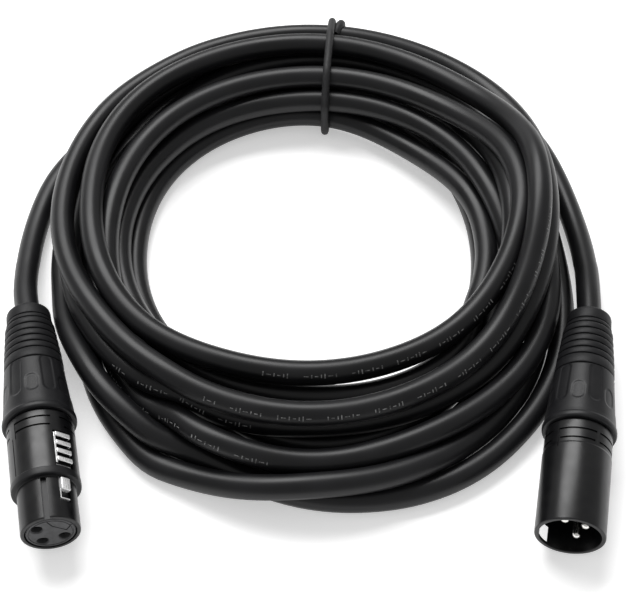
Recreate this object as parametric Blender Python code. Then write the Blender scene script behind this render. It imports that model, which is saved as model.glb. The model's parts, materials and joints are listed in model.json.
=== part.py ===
"""Microphone cable, coiled and tied, with a female and a male three-pole connector.

Lengths are in millimetres and angles in degrees; new_object() turns them into metres.
World frame: +X to the right, +Y away from the connectors' noses, +Z up, floor at z = 0.
Each connector is drawn about its own axis: +Z towards its nose, z = 0 at the bushing's rim,
angles counted anticlockwise from the right as one looks at the nose.
"""
import math

import bmesh
import bpy
from mathutils import Matrix, Vector

MILLIMETRE = 0.001
GAP = 0.3                       # clearance between pieces that touch

# Cable
CABLE_DIAMETER = 7.2
CABLE_RADIUS = CABLE_DIAMETER / 2
WIRE_RADIUS = 0.75

# Where the connectors lie: centre of the bushing's rim, yaw about Z, pitch of the nose
RIM_RADIUS = 10.4
RIM_LIP = (-1.3, -0.6)          # stations between which the rim has its full radius
FEMALE_RIM_PLACE = (-74.4, -2.85)
FEMALE_YAW = 11.5
FEMALE_PITCH = 1.2
MALE_RIM_PLACE = (75.26, -5.5)
MALE_YAW = -10.2
MALE_PITCH = -1.2

# Stations along a connector's axis
BOOT_END = -41.0                # back of the collar, where the cable comes out
BUSHING_END = -19.15            # back of the bushing, the boot's front is GAP behind it
NECK_END = -9.0                 # back of the shell's threaded neck
JACKET_END = -8.0               # where the cable's jacket is stripped
SHELL_SHOULDER = GAP            # the shell's shoulder in front of the bushing's rim
FEMALE_FACE = 34.5
MALE_MOUTH = 31.8
FLANGE_BACK = 19.3
FLANGE_FRONT = 21.6

# Radii of a connector's pieces
SHELL_RADIUS = 9.35
MALE_SHELL_RADIUS = 9.5
NECK_RADIUS = 7.9
BORE_RADIUS = 6.95
NOSE_RADIUS = 8.0
MOUTH_RADIUS = 8.3
GROOVE_DEPTH = 0.5
GROOVE_WIDTH = 0.6
JACKET_BORE = CABLE_RADIUS + GAP
COLLAR_RADIUS = 6.45

# Contacts
POLE_CIRCLE = 4.2               # radius of the circle that the three poles sit on
CONTACT_RADIUS = 1.6
CONTACT_HOLE = 1.55
PIN_RADIUS = 1.2
CUP_END = 1.5                   # back of the solder cups
MALE_FLOOR = 15.5               # front face of the male insert
PIN_TIP = MALE_MOUTH - 2.0
FEMALE_POLE_ANGLES = (143.0, 323.0, 232.5)
MALE_POLE_ANGLES = (118.0, 298.0, 28.0)

# Latch of the female connector
LATCH_ANGLE = 48.0
LATCH_WIDTH = 5.0
HOOK_WIDTH = 2.8
LATCH_CLEARANCE = 0.3
LATCH_PIVOT = (7.0, 6.8)        # radius and station of the hinge line
LATCH_POCKET_FLOOR = 3.7
REAR_WINDOW = (7.3, 19.0)
NOSE_WINDOW = (21.9, 29.1)

# Coil
HOLE_CENTRE = (0.0, 67.2)
HOLE_RADII = (50.2, 53.4)
COIL_CENTRE = (-0.9, 66.8)
COIL_RADII = (78.2, 93.5)
COIL_HEIGHT = 25.0
COIL_PILE_UP = 14.0
COIL_STATIONS = 64

# Tie round the back of the coil
TIE_X = 5.2
TIE_RADIUS = 1.25
KNOT_RADIUS = 2.4

# Routes of the two leads, from the boots to the coil
LEAD_START = BOOT_END - 0.7      # just behind the cable's end inside the boot
FEMALE_LEAD_ROUTE = ((-84.9, 47.5, 7.9), (-85.9, 58.0, 6.1), (-86.1, 69.0, 4.6), (-85.4, 79.0, 3.8),
                     (-83.8, 88.5, 3.7), (-81.5, 97.5, 3.7))
MALE_LEAD_ROUTE = ((83.5, 45.0, 10.0), (84.4, 56.5, 7.8), (84.3, 68.0, 5.6), (83.4, 78.0, 4.1),
                   (81.8, 88.0, 3.7), (79.7, 97.5, 3.7))

SEGMENTS = 32
COARSE_SEGMENTS = 24
SMALL_SEGMENTS = 10


# ---------------------------------------------------------------- materials

def make_material(name, colour, roughness, metallic=0.0):
    material = bpy.data.materials.new(name)
    material.use_nodes = True
    shader = material.node_tree.nodes["Principled BSDF"]
    shader.inputs["Base Color"].default_value = (*colour, 1.0)
    shader.inputs["Roughness"].default_value = roughness
    shader.inputs["Metallic"].default_value = metallic
    return material


def make_materials():
    return {
        "jacket": make_material("cable_jacket", (0.022, 0.022, 0.023), 0.42),
        "shell": make_material("black_shell", (0.012, 0.012, 0.013), 0.22, 0.6),
        "bushing": make_material("bushing_plastic", (0.030, 0.030, 0.031), 0.40),
        "boot": make_material("boot_rubber", (0.028, 0.028, 0.029), 0.55),
        "insert": make_material("insert_plastic", (0.075, 0.075, 0.078), 0.60),
        "contact": make_material("silver_contact", (0.80, 0.79, 0.76), 0.20, 1.0),
        "latch": make_material("chromed_latch", (0.88, 0.88, 0.89), 0.16, 1.0),
        "spring": make_material("spring_steel", (0.55, 0.55, 0.56), 0.30, 1.0),
        "chuck": make_material("chuck_plastic", (0.70, 0.70, 0.68), 0.50),
        "wire_white": make_material("wire_white", (0.80, 0.80, 0.78), 0.45),
        "wire_red": make_material("wire_red", (0.55, 0.04, 0.03), 0.45),
        "wire_shield": make_material("shield_copper", (0.72, 0.42, 0.24), 0.35, 1.0),
        "tie": make_material("tie_cord", (0.025, 0.025, 0.026), 0.75),
    }


# ---------------------------------------------------------------- building tools

def clear_scene():
    for item in list(bpy.data.objects):
        bpy.data.objects.remove(item, do_unlink=True)


def new_object(name, bm, material, parent=None):
    """Turns a bmesh in millimetres into an object in metres."""
    bmesh.ops.scale(bm, vec=(MILLIMETRE,) * 3, verts=bm.verts)
    mesh = bpy.data.meshes.new(name)
    bm.to_mesh(mesh)
    bm.free()
    mesh.shade_smooth()
    mesh.set_sharp_from_angle(angle=math.radians(35))
    item = bpy.data.objects.new(name, mesh)
    bpy.context.scene.collection.objects.link(item)
    if material:
        mesh.materials.append(material)
    item.parent = parent
    return item


def cut(target, cutter, operation="DIFFERENCE"):
    """Cuts (or joins) one object with another, which then stays out of the model."""
    cutter.hide_render = True
    cutter.display_type = "WIRE"
    modifier = target.modifiers.new(cutter.name, "BOOLEAN")
    modifier.operation = operation
    modifier.solver = "EXACT"
    modifier.object = cutter


def connector_axis(name, place, yaw, pitch):
    """An empty on the bushing's rim, its +Z along the connector's nose."""
    axis = bpy.data.objects.new(name, None)
    lowest_station = RIM_LIP[0] if pitch > 0.0 else RIM_LIP[1]
    height = RIM_RADIUS * math.cos(math.radians(pitch)) - lowest_station * math.sin(math.radians(pitch))
    axis.location = Vector((*place, height)) * MILLIMETRE
    axis.rotation_euler = (math.radians(90.0 - pitch), 0.0, math.radians(yaw))
    bpy.context.scene.collection.objects.link(axis)
    return axis


def turned(outline, segments=SEGMENTS):
    """Spins an outline of (radius, station) points a full turn about Z.

    An outline whose ends lie on the axis makes a solid piece, any other is closed and makes a ring.
    """
    bm = bmesh.new()
    points = [bm.verts.new((radius, 0.0, station)) for radius, station in outline]
    edges = [bm.edges.new(pair) for pair in zip(points, points[1:])]
    if outline[0][0] > 0.0:
        edges.append(bm.edges.new((points[-1], points[0])))
    bmesh.ops.spin(bm, geom=points + edges, cent=(0, 0, 0), axis=(0, 0, 1),
                   angle=math.tau, steps=segments, use_duplicate=False)
    bmesh.ops.remove_doubles(bm, verts=bm.verts, dist=1e-4)
    bmesh.ops.recalc_face_normals(bm, faces=bm.faces)
    return bm


def move(bm, x=0.0, y=0.0, z=0.0):
    bmesh.ops.translate(bm, vec=(x, y, z), verts=bm.verts)
    return bm


def turn(bm, angle):
    """Turns a bmesh about its own Z axis."""
    bmesh.ops.rotate(bm, cent=(0, 0, 0), matrix=Matrix.Rotation(math.radians(angle), 3, "Z"),
                     verts=bm.verts)
    return bm


def block(radii, width, stations):
    """A box on the +X side of the axis: radial range, width across, range along the axis."""
    bm = bmesh.new()
    bmesh.ops.create_cube(bm, size=1.0)
    size = (radii[1] - radii[0], width, stations[1] - stations[0])
    bmesh.ops.scale(bm, vec=size, verts=bm.verts)
    return move(bm, sum(radii) / 2, 0.0, sum(stations) / 2)


def plate(outline, width):
    """A flat piece in the plane of the axis: its (radius, station) outline given a width across."""
    bm = bmesh.new()
    base = bm.faces.new([bm.verts.new((radius, -width / 2, station)) for radius, station in outline])
    grown = bmesh.ops.extrude_face_region(bm, geom=[base])
    top = [item for item in grown["geom"] if isinstance(item, bmesh.types.BMVert)]
    bmesh.ops.translate(bm, vec=(0, width, 0), verts=top)
    bmesh.ops.recalc_face_normals(bm, faces=bm.faces)
    return bm


def on_pole(bm, angle):
    """Moves a piece drawn about Z out to its place on the pole circle."""
    angle = math.radians(angle)
    return move(bm, POLE_CIRCLE * math.cos(angle), POLE_CIRCLE * math.sin(angle))


def smooth_route(points, spacing):
    """Reads evenly spaced points from a smooth curve through the given ones."""
    points = [Vector(point) for point in points]
    padded = [2 * points[0] - points[1], *points, 2 * points[-1] - points[-2]]
    fine = []
    for a, b, c, d in zip(padded, padded[1:], padded[2:], padded[3:]):
        for step in range(20):
            t = step / 20
            fine.append(0.5 * (2 * b + (c - a) * t + (2 * a - 5 * b + 4 * c - d) * t * t
                               + (3 * b - 3 * c + d - a) * t ** 3))
    fine.append(points[-1])
    lengths = [0.0]
    for a, b in zip(fine, fine[1:]):
        lengths.append(lengths[-1] + (b - a).length)
    count = max(3, round(lengths[-1] / spacing))
    route = []
    for index in range(count + 1):
        wanted = lengths[-1] * index / count
        here = max(i for i, length in enumerate(lengths) if length <= wanted + 1e-9)
        here = min(here, len(fine) - 2)
        part = (wanted - lengths[here]) / (lengths[here + 1] - lengths[here])
        route.append(fine[here].lerp(fine[here + 1], part))
    return route


def tube(name, points, radius, material, parent=None, resolution=2):
    """A round cord along the given points, with filled ends."""
    curve = bpy.data.curves.new(name, "CURVE")
    curve.dimensions = "3D"
    curve.bevel_depth = radius * MILLIMETRE
    curve.bevel_resolution = resolution
    curve.use_fill_caps = True
    spline = curve.splines.new("POLY")
    spline.points.add(len(points) - 1)
    for slot, point in zip(spline.points, points):
        slot.co = (*(Vector(point) * MILLIMETRE), 1.0)
    curve.materials.append(material)
    item = bpy.data.objects.new(name, curve)
    bpy.context.scene.collection.objects.link(item)
    item.parent = parent
    return item


def ring_tube(path, radius, sides):
    """A closed round tube along a closed path that lies in a plane of constant x."""
    bm = bmesh.new()
    centre = sum(path, Vector()) / len(path)
    rings = []
    for index, point in enumerate(path):
        along = (path[(index + 1) % len(path)] - path[index - 1]).normalized()
        across = Vector((1, 0, 0))
        outward = across.cross(along)
        if outward.dot(point - centre) < 0:
            outward.negate()
        ring = []
        for side in range(sides):
            angle = math.tau * side / sides
            direction = math.cos(angle) * outward + math.sin(angle) * across
            ring.append(bm.verts.new(point + radius * direction))
        rings.append(ring)
    for index, ring in enumerate(rings):
        following = rings[(index + 1) % len(rings)]
        for side in range(sides):
            after = (side + 1) % sides
            bm.faces.new((ring[side], ring[after], following[after], following[side]))
    bmesh.ops.recalc_face_normals(bm, faces=bm.faces)
    return bm


# ---------------------------------------------------------------- pieces that both connectors have

def ring_grooves(radius, stations):
    """Outline points of the shallow grooves turned into a shell behind its shoulder."""
    points = []
    for station in stations:
        points += [(radius, station), (radius - GROOVE_DEPTH, station),
                   (radius - GROOVE_DEPTH, station + GROOVE_WIDTH), (radius, station + GROOVE_WIDTH)]
    return points


def make_bushing(side, axis, materials):
    """Threaded cap that screws over the shell's neck, with shallow grip flutes round it."""
    outline = [(8.6, BUSHING_END), (8.95, -15.0), (9.3, -11.0), (9.6, -7.0), (10.0, -3.0),
               (RIM_RADIUS, RIM_LIP[0]), (RIM_RADIUS, RIM_LIP[1]), (10.1, 0.0),
               (NECK_RADIUS + GAP, 0.0), (NECK_RADIUS + GAP, NECK_END - GAP),
               (7.0, NECK_END - 0.9), (6.1, -16.3), (6.1, BUSHING_END)]
    bm = turned(outline, segments=3 * 12)
    flute_depth = 0.25
    for vertex in bm.verts:
        radius = math.hypot(vertex.co.x, vertex.co.y)
        fluted = radius > NECK_RADIUS + 2 * GAP and -16.0 < vertex.co.z < -6.0
        column = round(math.degrees(math.atan2(vertex.co.y, vertex.co.x)) / 10.0)
        if fluted and column % 3:
            vertex.co.xy *= 1.0 - flute_depth / radius
    new_object(f"{side}_bushing", bm, materials["bushing"], axis)


def make_boot(side, axis, materials):
    """Rubber strain relief: a collar, five ribs that grow towards the bushing, a plain band."""
    first_rib = -35.2
    rib_pitch = 2.44
    rib_count = 5
    rib_groove = 0.55
    boot_front = BUSHING_END - GAP
    outline = [(JACKET_BORE, BOOT_END), (5.6, BOOT_END), (COLLAR_RADIUS, BOOT_END + 0.9),
               (COLLAR_RADIUS + 0.1, -37.1), (6.2, -36.9), (6.7, -36.6), (6.8, first_rib - 0.3)]
    for index in range(rib_count):
        start = first_rib + rib_pitch * index
        radius = 7.2 + 0.24 * index
        outline += [(radius - 0.65, start), (radius - 0.05, start + rib_groove),
                    (radius + 0.1, start + rib_pitch - 0.35), (radius - 0.1, start + rib_pitch - 0.05)]
    outline += [(7.8, -23.0), (8.35, -22.5), (8.5, boot_front), (JACKET_BORE, boot_front)]
    new_object(f"{side}_boot", turned(outline, COARSE_SEGMENTS), materials["boot"], axis)


def make_chuck(side, axis, materials):
    """Collet that the bushing presses on the jacket: a slotted sleeve with a tapered back."""
    outline = [(5.5, -16.0), (6.6, NECK_END - 0.9), (6.6, -5.0), (JACKET_BORE, -5.0), (JACKET_BORE, -16.0)]
    chuck = new_object(f"{side}_chuck", turned(outline, COARSE_SEGMENTS), materials["chuck"], axis)
    for index in range(3):
        slot = turn(block((3.0, 8.0), 0.9, (-17.0, -8.0)), 120.0 * index)
        cut(chuck, new_object(f"{side}_chuck_slot_{index + 1}", slot, None, axis))


def make_cable_end(side, axis, materials):
    """The jacket inside the boot and the chuck, from the boot's back to where it is stripped."""
    outline = [(0.0, BOOT_END + GAP), (CABLE_RADIUS, BOOT_END + GAP), (CABLE_RADIUS, JACKET_END),
               (0.0, JACKET_END)]
    new_object(f"{side}_cable_end", turned(outline, COARSE_SEGMENTS), materials["jacket"], axis)


def make_wires(side, axis, pole_angles, materials):
    """Shield, hot and cold wires, from the stripped jacket to the solder cups."""
    looks = ("shield", "red", "white")
    for look, angle in zip(looks, pole_angles):
        direction = Vector((math.cos(math.radians(angle)), math.sin(math.radians(angle)), 0.0))
        start = direction * 1.6 + Vector((0, 0, JACKET_END + GAP))
        end = direction * POLE_CIRCLE + Vector((0, 0, CUP_END - GAP))
        middle = (start + end) / 2
        route = smooth_route((start, start.lerp(middle, 0.6) - direction * 0.3,
                              end.lerp(middle, 0.6) + direction * 0.2, end), spacing=2.5)
        tube(f"{side}_wire_{look}", route, WIRE_RADIUS, materials[f"wire_{look}"], axis)


# ---------------------------------------------------------------- female connector

def make_female_shell(axis, materials):
    """Die-cast shell: threaded neck, grooved body, flange and nose, with the latch's windows."""
    outline = [(NECK_RADIUS, NECK_END), (NECK_RADIUS, SHELL_SHOULDER), (SHELL_RADIUS, SHELL_SHOULDER)]
    outline += ring_grooves(SHELL_RADIUS, (2.4, 5.2))
    outline += [(SHELL_RADIUS - 0.1, FLANGE_BACK), (SHELL_RADIUS + 0.15, FLANGE_BACK + 0.3),
                (SHELL_RADIUS + 0.15, FLANGE_FRONT - 0.5), (SHELL_RADIUS - 0.1, FLANGE_FRONT),
                (NOSE_RADIUS, FLANGE_FRONT), (NOSE_RADIUS, FEMALE_FACE - 0.3),
                (NOSE_RADIUS - 0.3, FEMALE_FACE), (BORE_RADIUS, FEMALE_FACE), (BORE_RADIUS, NECK_END)]
    shell = new_object("female_shell", turned(outline), materials["shell"], axis)
    wide = LATCH_WIDTH + 2 * LATCH_CLEARANCE
    narrow = HOOK_WIDTH + 2 * LATCH_CLEARANCE
    keyway_angle = 89.0
    cuts = {
        "rear_window": turn(block((5.0, 11.0), wide, REAR_WINDOW), LATCH_ANGLE),
        "nose_window": turn(block((5.0, 11.0), narrow, NOSE_WINDOW), LATCH_ANGLE),
        "latch_channel": turn(block((5.0, 7.85), narrow, (5.5, NOSE_WINDOW[1])), LATCH_ANGLE),
        "keyway": turn(block((7.2, 9.0), 1.6, (FLANGE_FRONT + 0.4, FEMALE_FACE + 1.0)), keyway_angle),
    }
    for name, bm in cuts.items():
        cut(shell, new_object(f"female_shell_{name}", bm, None, axis))


def make_female_insert(axis, materials):
    """Plastic insert that holds the three contacts, with a pocket for the latch."""
    radius = BORE_RADIUS - GAP
    outline = [(0.0, 5.0), (radius, 5.0), (radius, FEMALE_FACE - 0.1), (0.0, FEMALE_FACE - 0.1)]
    insert = new_object("female_insert", turned(outline, COARSE_SEGMENTS), materials["insert"], axis)
    pocket_width = LATCH_WIDTH + 2 * LATCH_CLEARANCE
    pocket = turn(block((LATCH_POCKET_FLOOR, 9.0), pocket_width, (4.0, 30.5)), LATCH_ANGLE)
    cut(insert, new_object("female_insert_pocket", pocket, None, axis))
    hole = [(0.0, 4.0), (CONTACT_RADIUS + GAP, 4.0), (CONTACT_RADIUS + GAP, 32.6),
            (CONTACT_HOLE, 32.6), (CONTACT_HOLE, FEMALE_FACE + 1.0), (0.0, FEMALE_FACE + 1.0)]
    for number, angle in enumerate(FEMALE_POLE_ANGLES, start=1):
        bore = on_pole(turned(hole, SMALL_SEGMENTS + 2), angle)
        cut(insert, new_object(f"female_insert_hole_{number}", bore, None, axis))


def make_female_contacts(axis, materials):
    """Three turned sockets: a bore for the pin in front, a solder cup behind."""
    bore = PIN_RADIUS + 0.05
    outline = [(0.0, 8.0), (bore, 8.0), (bore, 32.2), (CONTACT_RADIUS, 32.2), (CONTACT_RADIUS, 6.5),
               (1.3, 6.5), (1.3, CUP_END), (0.9, CUP_END), (0.9, 5.5), (0.0, 5.5)]
    for number, angle in enumerate(FEMALE_POLE_ANGLES, start=1):
        bm = on_pole(turned(outline, SMALL_SEGMENTS), angle)
        new_object(f"female_contact_{number}", bm, materials["contact"], axis)


def make_latch(axis, materials):
    """Release latch: a ribbed thumb pad behind the flange and a hook in front of it, one lever."""
    pivot_radius, pivot_station = LATCH_PIVOT
    pad_back = REAR_WINDOW[0] + LATCH_CLEARANCE
    pad_front = REAR_WINDOW[1] - 2 * LATCH_CLEARANCE
    pad_top = 9.2
    bar_inner = 6.3
    bar_outer = 7.5
    hook_top = 8.9
    hook_back = NOSE_WINDOW[0] + LATCH_CLEARANCE
    hook_front = hook_back + 3.8
    tip = NOSE_WINDOW[1] - 2 * LATCH_CLEARANCE
    lever = plate([(bar_inner, pivot_station), (bar_inner, tip), (bar_outer - 0.4, tip),
                   (bar_outer - 0.2, hook_front + 0.4), (hook_top, hook_front - 0.6),
                   (hook_top, hook_back), (bar_outer, hook_back), (bar_outer, pivot_station - 0.4),
                   (pivot_radius, pivot_station - 0.7)], HOOK_WIDTH)
    hinge = bpy.data.objects.new("female_latch_hinge", None)
    bpy.context.scene.collection.objects.link(hinge)
    hinge.parent = axis
    angle = math.radians(LATCH_ANGLE)
    hinge_place = Vector((pivot_radius * math.cos(angle), pivot_radius * math.sin(angle), pivot_station))
    hinge.location = hinge_place * MILLIMETRE
    hinge.rotation_euler = (0.0, 0.0, angle)
    to_hinge = {"x": -pivot_radius, "z": -pivot_station}
    latch = new_object("female_latch", move(lever, **to_hinge), materials["latch"], hinge)
    pad_outline = [(bar_inner, pad_back), (bar_inner, pad_front), (pad_top, pad_front)]
    rib_count = 4
    rib_pitch = (pad_front - pad_back) / rib_count
    rib_height = 0.55
    for index in reversed(range(rib_count)):
        base = pad_back + rib_pitch * index
        pad_outline += [(pad_top + rib_height, base + rib_pitch * 0.8),
                        (pad_top + rib_height, base + rib_pitch * 0.3),
                        (pad_top, base + rib_pitch * 0.1)]
        if index:
            pad_outline.append((pad_top, base - rib_pitch * 0.05))
    pad = new_object("female_latch_pad", move(plate(pad_outline, LATCH_WIDTH), **to_hinge), None, hinge)
    cut(latch, pad, "UNION")


def make_latch_spring(axis, materials):
    """Leaf spring under the latch's pad, its foot on the floor of the insert's pocket."""
    outline = [(LATCH_POCKET_FLOOR + GAP, 9.0), (LATCH_POCKET_FLOOR + GAP, 16.0), (4.3, 16.0), (4.3, 9.5),
               (5.6, 9.2), (5.2, 15.0), (5.5, 15.0), (5.95, 8.8), (5.7, 8.6)]
    spring = turn(plate(outline, 2.4), LATCH_ANGLE)
    new_object("female_latch_spring", spring, materials["spring"], axis)


def make_female_connector(materials):
    axis = connector_axis("female_axis", FEMALE_RIM_PLACE, FEMALE_YAW, FEMALE_PITCH)
    make_female_shell(axis, materials)
    make_female_insert(axis, materials)
    make_female_contacts(axis, materials)
    make_latch(axis, materials)
    make_latch_spring(axis, materials)
    make_bushing("female", axis, materials)
    make_boot("female", axis, materials)
    make_chuck("female", axis, materials)
    make_cable_end("female", axis, materials)
    make_wires("female", axis, FEMALE_POLE_ANGLES, materials)
    return axis


# ---------------------------------------------------------------- male connector

def make_male_shell(axis, materials):
    """Die-cast shell: threaded neck, grooved tube, a window for the latch, a key in its mouth."""
    outline = [(NECK_RADIUS, NECK_END), (NECK_RADIUS, SHELL_SHOULDER), (SHELL_RADIUS, SHELL_SHOULDER)]
    outline += ring_grooves(SHELL_RADIUS, (3.1, 6.0))
    outline += [(MALE_SHELL_RADIUS, 8.0), (MALE_SHELL_RADIUS, MALE_MOUTH - 0.3),
                (MALE_SHELL_RADIUS - 0.2, MALE_MOUTH), (MOUTH_RADIUS, MALE_MOUTH),
                (MOUTH_RADIUS, MALE_FLOOR - 0.4), (BORE_RADIUS, MALE_FLOOR - 0.4), (BORE_RADIUS, NECK_END)]
    shell = new_object("male_shell", turned(outline), materials["shell"], axis)
    key_angle = 160.0
    key = block((MOUTH_RADIUS - 0.9, MOUTH_RADIUS + 0.5), 1.5, (MALE_FLOOR - 1.0, MALE_MOUTH - 2.0))
    cut(shell, new_object("male_shell_key", turn(key, key_angle), None, axis), "UNION")
    window_angle = 208.0
    window = turn(block((7.0, 11.0), 6.2, (MALE_MOUTH - 6.4, MALE_MOUTH - 1.9)), window_angle)
    cut(shell, new_object("male_shell_window", window, None, axis))


def make_male_insert(axis, materials):
    """Plastic insert that holds the three pins."""
    radius = BORE_RADIUS - GAP
    outline = [(0.0, 5.0), (radius, 5.0), (radius, MALE_FLOOR), (0.0, MALE_FLOOR)]
    insert = new_object("male_insert", turned(outline, COARSE_SEGMENTS), materials["insert"], axis)
    hole = [(0.0, 4.0), (PIN_RADIUS + GAP, 4.0), (PIN_RADIUS + GAP, MALE_FLOOR + 1.0),
            (0.0, MALE_FLOOR + 1.0)]
    for number, angle in enumerate(MALE_POLE_ANGLES, start=1):
        bore = on_pole(turned(hole, SMALL_SEGMENTS + 2), angle)
        cut(insert, new_object(f"male_insert_hole_{number}", bore, None, axis))


def make_male_pins(axis, materials):
    """Three turned pins: a rounded tip in front, a solder cup behind."""
    outline = [(0.0, PIN_TIP), (0.7, PIN_TIP - 0.2), (PIN_RADIUS, PIN_TIP - 1.0), (PIN_RADIUS, CUP_END),
               (0.85, CUP_END), (0.85, 4.5), (0.0, 4.5)]
    for number, angle in enumerate(MALE_POLE_ANGLES, start=1):
        bm = on_pole(turned(outline, SMALL_SEGMENTS), angle)
        new_object(f"male_pin_{number}", bm, materials["contact"], axis)


def make_male_connector(materials):
    axis = connector_axis("male_axis", MALE_RIM_PLACE, MALE_YAW, MALE_PITCH)
    make_male_shell(axis, materials)
    make_male_insert(axis, materials)
    make_male_pins(axis, materials)
    make_bushing("male", axis, materials)
    make_boot("male", axis, materials)
    make_chuck("male", axis, materials)
    make_cable_end("male", axis, materials)
    make_wires("male", axis, MALE_POLE_ANGLES, materials)
    return axis


# ---------------------------------------------------------------- cable and tie

def oval_point(centre, radii, angle, height):
    return Vector((centre[0] + radii[0] * math.cos(angle), centre[1] + radii[1] * math.sin(angle), height))


def make_coil(materials):
    """The wound turns as one solid: an oval ring, flat underneath, rounded on top, highest on the right."""
    section = ((0.0, 0.2), (0.08, 0.0), (0.92, 0.0), (1.0, 0.2), (1.0, 0.5), (0.85, 0.9), (0.5, 1.0),
               (0.2, 0.95), (0.03, 0.6))
    bm = bmesh.new()
    rings = []
    for station in range(COIL_STATIONS):
        angle = math.tau * station / COIL_STATIONS
        inner = oval_point(HOLE_CENTRE, HOLE_RADII, angle, 0.0)
        outer = oval_point(COIL_CENTRE, COIL_RADII, angle, 0.0)
        height = COIL_HEIGHT + COIL_PILE_UP * max(0.0, math.cos(angle)) ** 2
        ring = [bm.verts.new(inner.lerp(outer, across) + Vector((0, 0, up * height)))
                for across, up in section]
        rings.append(ring)
    for ring, following in zip(rings, rings[1:] + rings[:1]):
        for index in range(len(section)):
            after = (index + 1) % len(section)
            bm.faces.new((ring[index], ring[after], following[after], following[index]))
    bmesh.ops.recalc_face_normals(bm, faces=bm.faces)
    return new_object("cable_coil", bm, materials["jacket"])


def tie_path():
    """Closed path of the tie round the back of the coil, in the plane x = TIE_X."""
    inner = HOLE_CENTRE[1] + HOLE_RADII[1]
    outer = COIL_CENTRE[1] + COIL_RADII[1]
    low = TIE_RADIUS + 0.1
    high = COIL_HEIGHT + 0.4
    middle = Vector((TIE_X, (inner + outer) / 2, (low + high) / 2))
    half_width = (outer - inner) / 2 + 0.4
    half_height = (high - low) / 2
    path = []
    count = 40
    squareness = 0.5
    for index in range(count):
        angle = math.tau * (index + 0.5) / count
        across = math.copysign(abs(math.cos(angle)) ** squareness, math.cos(angle))
        up = math.copysign(abs(math.sin(angle)) ** squareness, math.sin(angle))
        path.append(middle + Vector((0.0, half_width * across, half_height * up)))
    return path


def make_tie(coil, materials):
    """A thin cord tied round all the turns, with its knot at the outer top edge."""
    path = tie_path()
    new_object("tie_band", ring_tube(path, TIE_RADIUS, 8), materials["tie"])
    groove = new_object("tie_groove", ring_tube(path, TIE_RADIUS + GAP, 8), None)
    cut(coil, groove)
    knot = bmesh.new()
    bmesh.ops.create_uvsphere(knot, u_segments=12, v_segments=8, radius=KNOT_RADIUS)
    corner = max(path, key=lambda point: point.y + point.z)
    beside = Vector((TIE_RADIUS + GAP + KNOT_RADIUS, 0.0, 0.0))
    outward = Vector((0.0, 1.0, 1.0)).normalized() * (KNOT_RADIUS - TIE_RADIUS)
    move(knot, *(corner + beside + outward))
    new_object("tie_knot", knot, materials["tie"])


def make_lead(name, axis, route, materials):
    """The cable from a boot to the coil, leaving the boot along its axis."""
    bpy.context.view_layer.update()
    exit_point = axis.matrix_world @ Vector((0, 0, LEAD_START * MILLIMETRE)) / MILLIMETRE
    points = smooth_route((exit_point, *route), spacing=2 * CABLE_DIAMETER)
    tube(name, points, CABLE_RADIUS, materials["jacket"], resolution=3)


def main():
    clear_scene()
    materials = make_materials()
    female_axis = make_female_connector(materials)
    male_axis = make_male_connector(materials)
    coil = make_coil(materials)
    make_tie(coil, materials)
    make_lead("cable_lead_female", female_axis, FEMALE_LEAD_ROUTE, materials)
    make_lead("cable_lead_male", male_axis, MALE_LEAD_ROUTE, materials)


main()
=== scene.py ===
"""Looks of the coiled microphone cable: camera, lights, materials and fine meshes.

Lengths are in millimetres and angles in degrees, and MM turns millimetres into metres; only the floor, the
light and the camera's clipping are given in metres. +X right, +Y away from the connectors' noses, +Z up,
floor at z = 0, as in the CAD model. A connector is drawn about its own axis: a station is the distance along
it from the bushing's front end, positive towards the nose, and a radius is the distance from it.
"""
import json
import math

import bmesh
import bpy
import numpy as np
from mathutils import Matrix, Vector

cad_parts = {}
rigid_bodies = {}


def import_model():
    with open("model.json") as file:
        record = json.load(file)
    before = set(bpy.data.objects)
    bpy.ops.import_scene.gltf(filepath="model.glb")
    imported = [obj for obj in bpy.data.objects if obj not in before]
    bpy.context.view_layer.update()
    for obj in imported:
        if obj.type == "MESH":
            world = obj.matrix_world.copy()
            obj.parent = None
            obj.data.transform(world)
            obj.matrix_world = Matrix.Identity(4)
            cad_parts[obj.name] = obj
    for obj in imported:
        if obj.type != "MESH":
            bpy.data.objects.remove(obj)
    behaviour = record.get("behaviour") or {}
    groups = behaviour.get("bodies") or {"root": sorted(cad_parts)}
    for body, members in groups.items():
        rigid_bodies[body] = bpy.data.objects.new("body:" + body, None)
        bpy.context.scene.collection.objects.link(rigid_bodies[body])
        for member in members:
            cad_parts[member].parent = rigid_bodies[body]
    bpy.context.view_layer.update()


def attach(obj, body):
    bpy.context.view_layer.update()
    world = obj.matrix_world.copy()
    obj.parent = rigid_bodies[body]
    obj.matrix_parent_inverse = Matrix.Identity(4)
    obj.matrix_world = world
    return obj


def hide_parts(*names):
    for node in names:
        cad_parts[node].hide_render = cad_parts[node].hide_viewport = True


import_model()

MM = 0.001

# ---------------------------------------------------------------- camera
CAMERA_TARGET = Vector((3.5, 52.05, 0.0))
CAMERA_DISTANCE = 462.1
CAMERA_ELEVATION = 51.54
CAMERA_LENS = 84.9


def make_camera():
    data = bpy.data.cameras.new("camera")
    data.lens = CAMERA_LENS
    data.sensor_width = 36.0
    data.clip_start = 0.01
    data.clip_end = 20.0
    camera = bpy.data.objects.new("camera", data)
    bpy.context.scene.collection.objects.link(camera)
    elevation = math.radians(CAMERA_ELEVATION)
    back = Vector((0.0, -math.cos(elevation), math.sin(elevation)))
    camera.location = (CAMERA_TARGET + back * CAMERA_DISTANCE) * MM
    camera.rotation_euler = (-back).to_track_quat("-Z", "Y").to_euler()
    bpy.context.scene.camera = camera


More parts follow.
